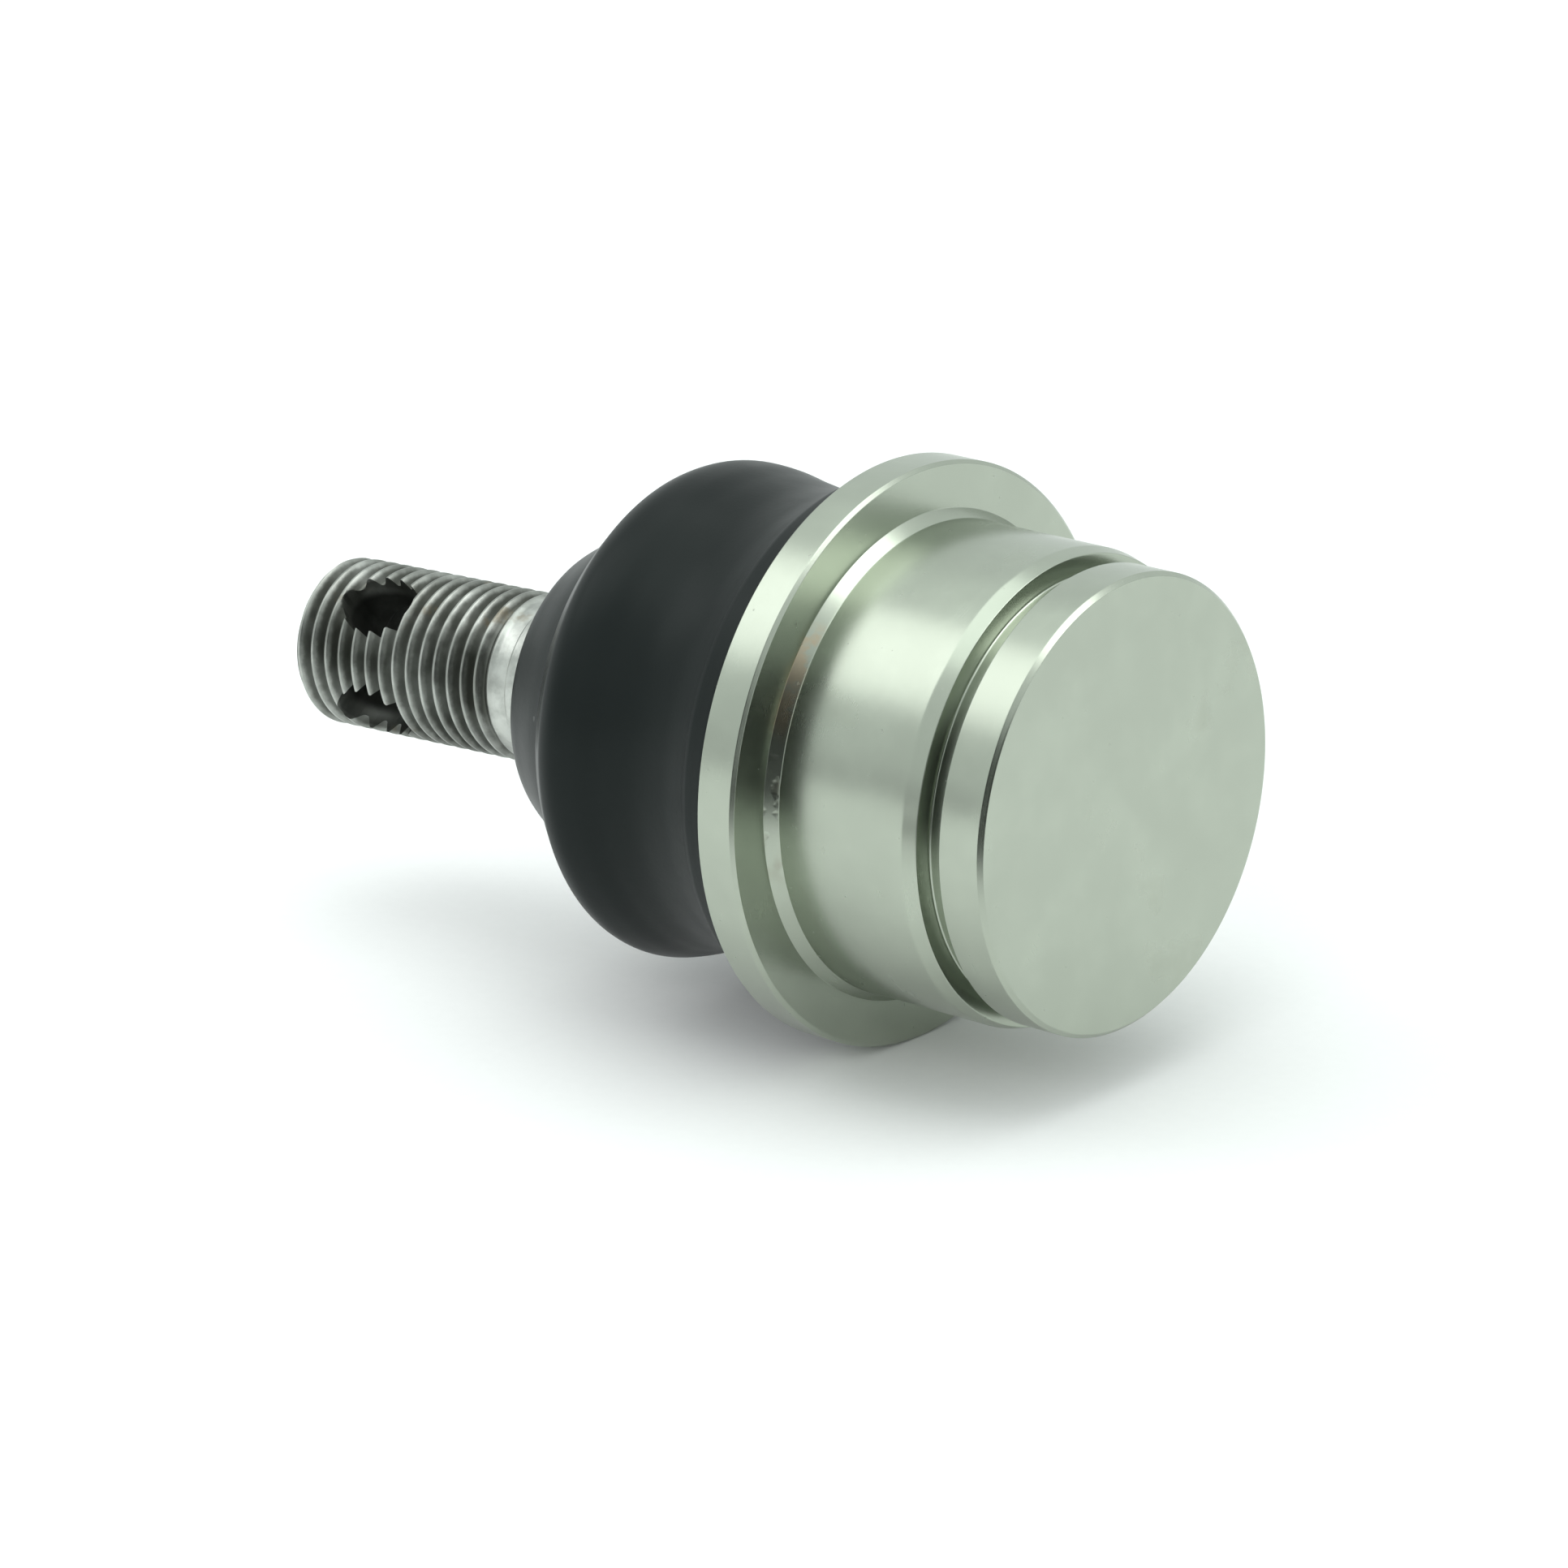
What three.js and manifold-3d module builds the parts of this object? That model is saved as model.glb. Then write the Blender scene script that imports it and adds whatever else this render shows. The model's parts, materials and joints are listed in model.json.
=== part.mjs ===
// Press-in ball joint: a flanged steel housing with a flat closed end, a ball stud that tilts and turns
// in a two-part polymer seat, and a rubber boot that seals the stud to the housing.
//
// Millimetres, +Z up. The housing's axis is the X axis. The origin is the centre of the flat closed end,
// whose face looks along +X, and the stud points along -X.
import * as THREE from 'three';
import { mergeVertices } from 'three/addons/utils/BufferGeometryUtils.js';
import Module from 'manifold-3d';

const wasm = await Module();
wasm.setup();

// ---- driving dimensions. A "station" is a distance from the closed end's face towards the stud. ----
const overallLength = 81.0;
const gap = 0.3; // running or assembly clearance between neighbouring pieces

// housing, outside
const pilotRadius = 18.2; // land beside the closed end
const endChamfer = 0.35;
const grooveStart = 3.95; // snap-ring groove for a shaft of 36 mm
const grooveWidth = 1.85;
const grooveRadius = 17.0;
const pressRadius = 18.95; // the land that is pressed into the arm
const pressStart = 7.0; // a short lead-in cone runs up to it from the groove
const leadInRadius = 18.6;
const flangeRadius = 23.4;
const flangeFront = 19.8;
const flangeRear = 23.4;
const flangeChamfer = 0.3;
const rootRadius = 19.65; // small bevel where the press land meets the flange
const rootWidth = 0.9;
const spigotRadius = 16.6; // stub behind the flange that carries the boot
const spigotEnd = 27.7;

// housing, inside
const floorStation = 3.2;
const boreRadius = 14.2;
const counterboreRadius = 15.0;
const counterboreStart = 23.2;
const lipRadius = 14.0; // edge rolled over the closing ring
const lipWidth = 0.8;

// ball and stud, measured along the stud from the ball's centre
const ballStation = 17.6;
const ballRadius = 11.5;
const ballFlatRadius = 4.0; // flat on the back of the ball
const neckRadius = 6.3;
const neckEnd = 14.5;
const taperStart = 17.6;
const taperBigRadius = 8.2;
const taperEnd = 39.8;
const taperSmallRadius = 6.95;
const shankRadius = 6.75;
const threadStart = 41.5;
const threadRadius = 7.0; // M14 x 1.5
const tipChamfer = 0.6;
const studLength = overallLength - ballStation;
const cotterHoleRadius = 2.75; // half the hole's width across the stud
const cotterMouthRadius = 2.9;
const cotterStretch = 1.34; // the hole is this much longer along the stud than across it
const cotterFromTip = 7.45;

// rest pose of the stud, in degrees
const leanAngle = 2.1; // the stud leans off the housing's axis
const leanSide = 19.0; // direction of the lean, from -Z towards -Y
const cotterTurn = 38.5; // first cotter hole, from +Z towards -Y

// ball seat and its preload
const seatRadius = boreRadius - gap;
const seatBallRadius = ballRadius + gap;
const lowerSeatBase = 6.0;
const lowerSeatHole = 5.5;
const upperSeatEnd = counterboreStart - 0.1;
const washerStart = 5.1;
const washerThickness = 0.6;
const springStart = floorStation + gap;
const springThickness = 0.6;
const springHeight = 1.3;
const springInnerRadius = 7.0;
const springOuterRadius = 13.2;
const closingRingFrontHole = 11.4;
const closingRingRearHole = 12.3;

// boot and its two inserts
const bootBaseStation = flangeRear + gap;
const bootBaseEnd = 28.0; // the bore over the base insert ends here
const bootBendStart = 34.0; // from here to the bend's end the boot bends with the stud
const bootBendEnd = 46.0;
const bootEnd = 52.5;
const bootEndRadius = 12.1;
const baseInsertInnerRadius = spigotRadius + gap;
const baseInsertThickness = 1.0;
const baseInsertEnd = 27.4;
const neckInsertStart = 45.9;
const neckInsertEnd = 51.2;
const neckInsertInnerRadius = 7.95;
const neckInsertOuterRadius = 9.7;
const lipSealRadius = 7.6;

const housingSegments = 56;
const innerSegments = 40;

// ---- shape helpers ----

// Points of an arc in a profile, each [station, radius]; angles in degrees, 0 along the axis, 90 outwards.
function arc(centreStation, centreRadius, radius, fromAngle, toAngle, steps) {
  const points = [];
  for (let i = 0; i <= steps; i += 1) {
    const angle = THREE.MathUtils.degToRad(fromAngle + ((toAngle - fromAngle) * i) / steps);
    const station = centreStation + radius * Math.cos(angle);
    points.push([station, centreRadius + radius * Math.sin(angle)]);
  }
  return points;
}

// A turned solid about +Y from [station, radius] points. The outer side runs towards +Y.
function turned(profile, segments) {
  const points = profile.map(([station, radius]) => new THREE.Vector2(radius, station));
  return new THREE.LatheGeometry(points, segments);
}

// A turned ring: its profile closes on itself.
function turnedRing(profile, segments) {
  return turned([...profile, profile[0]], segments);
}

function toManifold(geometry) {
  const bare = geometry.clone();
  bare.deleteAttribute('normal');
  bare.deleteAttribute('uv');
  const merged = mergeVertices(bare, 1e-4);
  const vertProperties = new Float32Array(merged.attributes.position.array);
  const corners = merged.index.array;
  const kept = [];
  for (let i = 0; i < corners.length; i += 3) {
    const [a, b, c] = [corners[i], corners[i + 1], corners[i + 2]];
    if (a !== b && b !== c && c !== a) kept.push(a, b, c);
  }
  return new wasm.Manifold(new wasm.Mesh({ numProp: 3, vertProperties, triVerts: new Uint32Array(kept) }));
}

function toGeometry(solid) {
  const mesh = solid.getMesh();
  const geometry = new THREE.BufferGeometry();
  geometry.setAttribute('position', new THREE.BufferAttribute(new Float32Array(mesh.vertProperties), 3));
  geometry.setIndex(new THREE.BufferAttribute(new Uint32Array(mesh.triVerts), 1));
  geometry.computeVertexNormals();
  return geometry;
}

function material(color, roughness, metalness) {
  return new THREE.MeshStandardMaterial({ color, roughness, metalness });
}

function named(name, geometry, look) {
  const mesh = new THREE.Mesh(geometry, look);
  mesh.name = name;
  return mesh;
}

// ---- pieces; each is turned about +Y, with the closed end at 0 and the stud towards +Y ----

// One turned cup: closed end, snap-ring groove, press land, flange, boot spigot, bore and rolled lip.
function housing() {
  const grooveEnd = grooveStart + grooveWidth;
  const profile = [
    [0, 0],
    [0, pilotRadius - endChamfer],
    [endChamfer, pilotRadius],
    [grooveStart, pilotRadius],
    [grooveStart, grooveRadius],
    [grooveEnd, grooveRadius],
    [grooveEnd, leadInRadius],
    [pressStart, pressRadius],
    [flangeFront - rootWidth, pressRadius],
    [flangeFront, rootRadius],
    [flangeFront, flangeRadius - flangeChamfer],
    [flangeFront + flangeChamfer, flangeRadius],
    [flangeRear - flangeChamfer, flangeRadius],
    [flangeRear, flangeRadius - flangeChamfer],
    [flangeRear, spigotRadius],
    [spigotEnd, spigotRadius],
    [spigotEnd, lipRadius],
    [spigotEnd - lipWidth, lipRadius],
    [spigotEnd - lipWidth, counterboreRadius],
    [counterboreStart, counterboreRadius],
    [counterboreStart, boreRadius],
    [floorStation, boreRadius],
    [floorStation, 0],
  ];
  return named('housing', turned(profile, housingSegments), material(0xb6bfb4, 0.32, 1.0));
}

// Conical spring washer that loads the seat; it opens towards the stud.
function preloadSpring() {
  const rise = springHeight - springThickness;
  const profile = [
    [springStart + rise, springOuterRadius],
    [springStart + springHeight, springOuterRadius],
    [springStart + springThickness, springInnerRadius],
    [springStart, springInnerRadius],
  ];
  return named('preload_spring', turnedRing(profile, innerSegments), material(0x565a5e, 0.4, 1.0));
}

// Flat washer between the spring and the polymer seat.
function loadWasher() {
  const outer = seatRadius - gap;
  const profile = [
    [washerStart, outer],
    [washerStart + washerThickness, outer],
    [washerStart + washerThickness, lowerSeatHole],
    [washerStart, lowerSeatHole],
  ];
  return named('load_washer', turnedRing(profile, innerSegments), material(0x8d9296, 0.35, 1.0));
}

// Polymer cup under the ball, open at its base for grease.
function lowerSeat() {
  const holeAngle = 180 - THREE.MathUtils.radToDeg(Math.asin(lowerSeatHole / seatBallRadius));
  const rimAngle = 90 + THREE.MathUtils.radToDeg(Math.asin((gap / 2) / seatBallRadius));
  const profile = [
    [lowerSeatBase, lowerSeatHole],
    [lowerSeatBase, seatRadius - 0.8],
    [lowerSeatBase + 0.8, seatRadius],
    [ballStation - gap / 2, seatRadius],
    ...arc(ballStation, 0, seatBallRadius, rimAngle, holeAngle, 7),
  ];
  return named('lower_seat', turnedRing(profile, innerSegments), material(0xe4e2d6, 0.45, 0.0));
}

// Polymer ring that wraps over the ball and keeps it in.
function upperSeat() {
  const rimAngle = 90 - THREE.MathUtils.radToDeg(Math.asin((gap / 2) / seatBallRadius));
  const endAngle = THREE.MathUtils.radToDeg(Math.acos((upperSeatEnd - ballStation) / seatBallRadius));
  const profile = [
    [ballStation + gap / 2, seatRadius],
    [upperSeatEnd, seatRadius],
    ...arc(ballStation, 0, seatBallRadius, endAngle, rimAngle, 4),
  ];
  return named('upper_seat', turnedRing(profile, innerSegments), material(0xe4e2d6, 0.45, 0.0));
}

// Steel ring held by the rolled lip; its coned hole lets the stud swing.
function closingRing() {
  const start = counterboreStart + gap;
  const end = spigotEnd - lipWidth - gap;
  const outer = counterboreRadius - gap;
  const profile = [
    [start, outer],
    [end, outer],
    [end, closingRingRearHole],
    [start, closingRingFrontHole],
  ];
  return named('closing_ring', turnedRing(profile, innerSegments), material(0x8d9296, 0.35, 1.0));
}

// Steel sleeve inside the boot's base, a press fit on the spigot.
function bootBaseInsert() {
  const outer = baseInsertInnerRadius + baseInsertThickness;
  const profile = [
    [bootBaseStation, outer],
    [baseInsertEnd, outer],
    [baseInsertEnd, baseInsertInnerRadius],
    [bootBaseStation, baseInsertInnerRadius],
  ];
  return named('boot_base_insert', turnedRing(profile, innerSegments), material(0x8d9296, 0.4, 1.0));
}

// Hard bush in the boot's small end, in which the stud's taper turns.
function bootNeckInsert() {
  const profile = [
    [neckInsertStart, neckInsertOuterRadius],
    [neckInsertEnd, neckInsertOuterRadius],
    [neckInsertEnd, neckInsertInnerRadius],
    [neckInsertStart, neckInsertInnerRadius],
  ].map(([station, radius]) => [station - ballStation, radius]);
  return named('boot_neck_insert', turnedRing(profile, innerSegments), material(0x2b2d2e, 0.5, 0.0));
}

// Rubber boot: thick base bead, waist, round bulge, ridge and conical collar, hollow all through.
function boot() {
  const baseInner = baseInsertInnerRadius + baseInsertThickness + gap;
  const collarInner = neckInsertOuterRadius + gap;
  const outside = [
    [bootBaseStation, 21.1],
    [24.3, 21.5],
    [26.7, 21.05],
    [26.8, 20.5],
    [28.4, 19.8],
    [30.5, 19.2],
    [33.5, 18.9],
    [36.5, 19.3],
    [39.0, 19.95],
    [41.0, 20.2],
    [42.5, 19.8],
    [43.5, 18.9],
    [44.1, 18.35],
    [44.3, 17.9],
    [45.4, 16.8],
    [45.6, 15.95],
    [48.4, 14.4],
    [50.6, 13.2],
    [bootEnd, bootEndRadius],
  ];
  const inside = [
    [bootEnd, lipSealRadius],
    [neckInsertEnd + gap, lipSealRadius],
    [neckInsertEnd + gap, collarInner],
    [45.2, collarInner],
    [44.4, 12.6],
    [43.0, 15.8],
    [40.8, 17.9],
    [36.0, 16.9],
    [33.0, 16.6],
    [30.0, 16.9],
    [bootBaseEnd, baseInner],
    [bootBaseStation, baseInner],
  ];
  const geometry = turnedRing([...outside, ...inside], innerSegments);
  return named('boot', geometry, material(0x2f3331, 0.62, 0.0));
}

// One forging: ball, neck, taper, plain shank and threaded end with two crossed cotter holes.
// Its own origin is the ball's centre.
function ballStud() {
  const flatAngle = 180 - THREE.MathUtils.radToDeg(Math.asin(ballFlatRadius / ballRadius));
  const neckAngle = THREE.MathUtils.radToDeg(Math.asin(neckRadius / ballRadius));
  const ball = arc(0, 0, ballRadius, flatAngle, neckAngle, 13);
  const profile = [
    [ball[0][0], 0],
    ...ball,
    [neckEnd, neckRadius],
    [taperStart, taperBigRadius],
    [taperEnd, taperSmallRadius],
    [taperEnd, shankRadius],
    [threadStart, shankRadius],
    [threadStart, threadRadius],
    [studLength - tipChamfer, threadRadius],
    [studLength, threadRadius - tipChamfer],
    [studLength, 0],
  ];
  let solid = toManifold(turned(profile, innerSegments));
  for (const turn of [0, 90]) {
    solid = solid.subtract(toManifold(cotterCutter(turn)));
  }
  return named('ball_stud', toGeometry(solid), material(0x8f9492, 0.34, 1.0));
}

// Spool-shaped cutter across the stud: the straight hole and the broken edge at both mouths.
function cotterCutter(turn) {
  const mouth = threadRadius + 0.4;
  const throat = mouth - 2 * (cotterMouthRadius - cotterHoleRadius);
  const profile = [
    [-mouth, 0],
    [-mouth, cotterMouthRadius],
    [-throat, cotterHoleRadius],
    [throat, cotterHoleRadius],
    [mouth, cotterMouthRadius],
    [mouth, 0],
  ];
  const cutter = turned(profile, 20);
  cutter.rotateX(Math.PI / 2);
  cutter.rotateY(THREE.MathUtils.degToRad(turn));
  cutter.scale(1, cotterStretch, 1);
  cutter.translate(0, studLength - cotterFromTip, 0);
  return cutter;
}

// Bends the boot with the leaning stud: none at the bend's start, all of it at the bend's end.
function bendWithStud(geometry, centre, axis, angle) {
  const points = geometry.attributes.position;
  const point = new THREE.Vector3();
  for (let i = 0; i < points.count; i += 1) {
    point.fromBufferAttribute(points, i);
    const share = THREE.MathUtils.smoothstep(point.y, bootBendStart, bootBendEnd);
    point.sub(centre).applyAxisAngle(axis, angle * share).add(centre);
    points.setXYZ(i, point.x, point.y, point.z);
  }
  geometry.computeVertexNormals();
}

// ---- assembly ----

const ballJoint = new THREE.Group();

// Pieces are turned about +Y; this frame lays +Y along -X.
const axisFrame = new THREE.Group();
axisFrame.rotation.z = Math.PI / 2;
ballJoint.add(axisFrame);

axisFrame.add(housing(), preloadSpring(), loadWasher(), lowerSeat(), upperSeat(), closingRing());
axisFrame.add(bootBaseInsert());

// The ball's centre carries three nested turns: direction of the lean, the lean, and the stud's own spin.
const ballCentre = new THREE.Vector3(0, ballStation, 0);
const leanDirection = new THREE.Group();
leanDirection.position.copy(ballCentre);
leanDirection.rotation.y = THREE.MathUtils.degToRad(leanSide);
axisFrame.add(leanDirection);

const lean = new THREE.Group();
lean.rotation.x = THREE.MathUtils.degToRad(-leanAngle);
leanDirection.add(lean);
lean.add(bootNeckInsert());

const spin = new THREE.Group();
spin.rotation.y = THREE.MathUtils.degToRad(-leanSide - cotterTurn);
lean.add(spin);
spin.add(ballStud());

const leanAxis = new THREE.Vector3(1, 0, 0).applyEuler(leanDirection.rotation);
const bentBoot = boot();
bendWithStud(bentBoot.geometry, ballCentre, leanAxis, THREE.MathUtils.degToRad(-leanAngle));
axisFrame.add(bentBoot);

export default ballJoint;
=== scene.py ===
import json

import bmesh
import bpy
import numpy as np
from mathutils import Matrix, Vector


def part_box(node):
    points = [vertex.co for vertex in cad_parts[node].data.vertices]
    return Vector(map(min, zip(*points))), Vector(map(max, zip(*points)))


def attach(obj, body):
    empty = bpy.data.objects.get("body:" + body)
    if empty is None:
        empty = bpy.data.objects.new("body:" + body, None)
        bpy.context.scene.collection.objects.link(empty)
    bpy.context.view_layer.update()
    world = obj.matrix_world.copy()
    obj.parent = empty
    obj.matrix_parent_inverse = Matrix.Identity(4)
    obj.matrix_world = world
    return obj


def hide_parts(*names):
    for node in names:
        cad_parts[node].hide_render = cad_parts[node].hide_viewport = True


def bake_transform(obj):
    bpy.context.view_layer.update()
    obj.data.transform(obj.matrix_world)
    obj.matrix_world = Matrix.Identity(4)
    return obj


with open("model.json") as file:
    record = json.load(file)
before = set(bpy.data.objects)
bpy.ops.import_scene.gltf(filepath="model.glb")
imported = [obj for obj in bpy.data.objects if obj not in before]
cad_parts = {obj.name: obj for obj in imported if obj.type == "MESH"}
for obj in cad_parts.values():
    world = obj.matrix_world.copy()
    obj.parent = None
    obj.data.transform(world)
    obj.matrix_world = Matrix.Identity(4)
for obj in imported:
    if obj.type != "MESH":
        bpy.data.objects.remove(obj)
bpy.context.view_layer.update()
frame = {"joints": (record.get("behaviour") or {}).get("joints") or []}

MM = 0.001
ORIGIN = np.zeros(3)

joints = {joint["name"]: joint for joint in frame["joints"]}
ball_centre = np.array(joints["stud_tilt"]["pos_m"], float) / MM
ball_station = -ball_centre[0]
stud_axis = np.array(joints["stud_spin"]["axis"], float)
housing_axis = np.array([-1.0, 0.0, 0.0])
upward = np.array([0.0, 0.0, 1.0])


def node_sizes(node):
    """First station, last station and largest radius of a node turned about the housing's axis, in mm."""
    low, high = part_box(node)
    return -high.x / MM, -low.x / MM, high.z / MM


spigot_end = node_sizes("housing")[1]
flange_radius = node_sizes("housing")[2]
floor_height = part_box("housing")[0].z

# ---- dimensions, in mm ----
pilot_radius = 18.2
end_chamfer = 0.35
groove_start = 3.95
groove_end = 5.8
groove_radius = 17.0
press_start = 7.0
lead_in_radius = 18.6
press_radius = 18.95
flange_front = 19.8
flange_rear = 23.4
root_radius = 19.65
spigot_radius = 16.6
bore_radius = 14.2
floor_station = 3.2
counterbore_start = 23.2
counterbore_radius = 15.0
lip_radius = 14.0

ball_radius = 11.5
seat_radius = 11.8
ball_flat_radius = 4.0
fillet_radius = 7.4
neck_radius = 6.3
neck_end = 14.5
taper_start = 17.6
taper_big_radius = 8.2
taper_end = 39.8
taper_small_radius = 6.95
shank_radius = 6.75
thread_start = 41.0
thread_radius = 7.0
thread_pitch = 1.5
thread_depth = 0.92
thread_offset = 0.98
run_out_turns = 1.7
tip_chamfer = 0.6
stud_length = 63.4
hole_radius = 2.75
hole_stretch = 1.34
hole_from_tip = 7.45
hole_angle = 38.5

bend_start = 34.0
bend_end = 46.0


# ---- surfaces ----


def frame_round(axis):
    """Two unit vectors square to an axis: the one nearest to up, and the next a quarter turn on, towards
    -Y for an axis along -X."""
    first = upward - axis * (upward @ axis)
    first /= np.linalg.norm(first)
    return first, np.cross(first, axis)


def rounded(corners, steps=5, ease=0.06):
    """Profile through corners (station, radius, fillet). Each fillet is an arc tangent to both of its sides,
    centred on the bisector of the corner; a ring just outside each end of the arc keeps the sides flat."""
    points = [corners[0][:2]]
    for before, here, after in zip(corners, corners[1:], corners[2:]):
        corner, fillet = np.array(here[:2], float), here[2]
        back = np.array(before[:2], float) - corner
        on = np.array(after[:2], float) - corner
        back_length, on_length = np.linalg.norm(back), np.linalg.norm(on)
        back, on = back / back_length, on / on_length
        half = 0.5 * np.arccos(np.clip(back @ on, -1.0, 1.0))
        reach = min(fillet / np.tan(half), 0.45 * back_length, 0.45 * on_length)
        radius = reach * np.tan(half)
        bisector = (back + on) / np.linalg.norm(back + on)
        centre = corner + bisector * radius / np.sin(half)
        turn = np.linspace(-1.0, 1.0, steps + 1) * (np.pi / 2 - half)
        side = (on - back) / np.linalg.norm(on - back)
        arc = centre - radius * np.outer(np.cos(turn), bisector) + radius * np.outer(np.sin(turn), side)
        edge = min(ease, 0.3 * (back_length - reach), 0.3 * (on_length - reach))
        points.append(tuple(corner + back * (reach + edge)))
        points += [*map(tuple, arc), tuple(corner + on * (reach + edge))]
    points.append(corners[-1][:2])
    return np.array(points, float)


def smooth_curve(points, steps=6):
    """Curve through points: on each span, the cubic whose slope at a point is half the step between that
    point's two neighbours."""
    knots = np.array(points, float)
    ends = np.vstack([2 * knots[0] - knots[1], knots, 2 * knots[-1] - knots[-2]])
    p0, p1, p2, p3 = ends[:-3, None], ends[1:-2, None], ends[2:-1, None], ends[3:, None]
    t = np.linspace(0.0, 1.0, steps, endpoint=False)[None, :, None]
    spans = 0.5 * (
        2 * p1 + (p2 - p0) * t + (2 * p0 - 5 * p1 + 4 * p2 - p3) * t**2 + (3 * p1 - p0 - 3 * p2 + p3) * t**3
    )
    return np.vstack([spans.reshape(-1, 2), knots[-1:]])


def swept_round(station, radius, angle, origin, axis):
    """Points at a station along an axis and a radius from it, at an angle that starts upward."""
    first, second = frame_round(axis)
    station, radius, angle = np.broadcast_arrays(station, radius, angle)
    across = np.cos(angle)[..., None] * first + np.sin(angle)[..., None] * second
    return origin + station[..., None] * axis + radius[..., None] * across


def piece_from_grid(name, grid, ring=False):
    """Mesh of the four-sided faces between neighbouring points of a grid in mm. The grid's last column
    repeats its first; a ring's last row also joins its first. Points that coincide are merged, which closes
    seams and poles."""
    rows, columns = grid.shape[:2]
    index = np.arange(rows * columns).reshape(rows, columns)
    if ring:
        index = np.vstack([index, index[:1]])
    faces = np.stack([index[:-1, :-1], index[1:, :-1], index[1:, 1:], index[:-1, 1:]], -1).reshape(-1, 4)
    mesh = bpy.data.meshes.new(name)
    mesh.from_pydata(grid.reshape(-1, 3) * MM, [], faces)
    work = bmesh.new()
    work.from_mesh(mesh)
    bmesh.ops.remove_doubles(work, verts=work.verts, dist=1e-7)
    bmesh.ops.dissolve_degenerate(work, dist=1e-8, edges=work.edges)
    work.to_mesh(mesh)
    work.free()
    mesh.polygons.foreach_set("use_smooth", np.ones(len(mesh.polygons), bool))
    piece = bpy.data.objects.new(name, mesh)
    bpy.context.scene.collection.objects.link(piece)
    return piece


def turned(name, profile, segments=192, ring=False, origin=ORIGIN, axis=housing_axis):
    """Surface of revolution: every profile point (station, radius) carried once round the axis."""
    angle = np.linspace(0.0, 2 * np.pi, segments + 1)
    grid = swept_round(profile[:, :1], profile[:, 1:], angle[None, :], origin, axis)
    return piece_from_grid(name, grid, ring)


def finish_piece(piece, body, slot, material, *nodes):
    """Gives a piece its body and material, and lets it stand for its CAD nodes. The slot argument is not
    used.
    """
    piece.data.materials.clear()
    piece.data.materials.append(material)
    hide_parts(*nodes)
    if body:
        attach(piece, body)
    return piece


# ---- materials ----


class Value:
    """A socket that stands in an expression: arithmetic on it adds Math nodes to its shader."""

    def __init__(self, shader, socket):
        self.shader = shader
        self.socket = socket

    def math(self, operation, *others):
        values = dict(enumerate((self, *others)))
        return self.shader.node("ShaderNodeMath", {"operation": operation}, values)

    def __add__(self, other):
        return self.math("ADD", other)

    def __radd__(self, other):
        return self.math("ADD", other)

    def __mul__(self, other):
        return self.math("MULTIPLY", other)

    def __rmul__(self, other):
        return self.math("MULTIPLY", other)

    def __sub__(self, other):
        return self.math("SUBTRACT", other)

    def __rsub__(self, other):
        return self.shader.node("ShaderNodeMath", {"operation": "SUBTRACT"}, {0: other, 1: self})

    def __truediv__(self, other):
        return self.math("DIVIDE", other)

    def __pow__(self, other):
        return self.math("POWER", other)


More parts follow.
